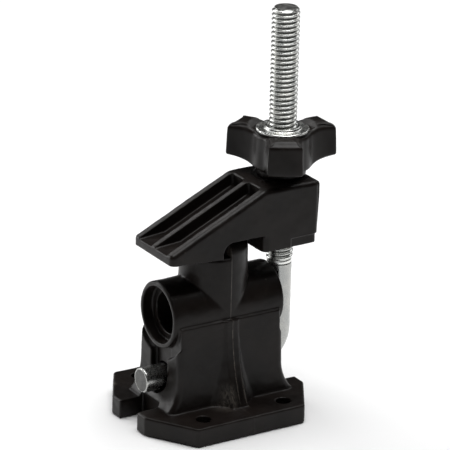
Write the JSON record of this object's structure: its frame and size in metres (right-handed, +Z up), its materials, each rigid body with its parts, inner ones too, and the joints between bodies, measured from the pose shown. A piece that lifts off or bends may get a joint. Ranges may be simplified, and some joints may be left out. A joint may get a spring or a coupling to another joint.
{
  "type": "rod holder",
  "caption": "Socketed base on a flanged foot, with a bent bolt that carries a sloped clamp arm tightened by a lobed hand knob.",
  "frame": {"origin": "middle of the column above the foot's underside, on the plane the foot stands on", "axes": "+Z up along the column and the bolt; -Y out of the socket's front mouth, towards the clamp arm's thin tip; +X to the right seen from that mouth"},
  "size_m": [0.0558, 0.0781, 0.1383],
  "materials": {
    "black_nylon": "satin moulded",
    "knob_nylon": "satin moulded",
    "zinc_steel": "bright zinc plate"
  },
  "bodies": {
    "base": {"base_body": "black_nylon", "l_bolt": "zinc_steel"},
    "arm": {"clamp_arm": "black_nylon"},
    "knob": {"knob_grip": "knob_nylon", "knob_insert": "zinc_steel"}
  },
  "joints": [
    {"name": "arm_lift", "type": "slide", "parent": "base", "child": "arm", "axis": [0, 0, 1], "range_m": [0, 0.041]},
    {"name": "knob_spin", "type": "hinge", "parent": "arm", "child": "knob", "pos_m": [0, 0.0264, 0.0798], "axis": [0, 0, 1], "range_deg": [0, 9300]}
  ],
  "couplings": [
    {"joint": "knob_spin", "follows": "arm_lift", "rad_per_m": 3957.9}
  ]
}
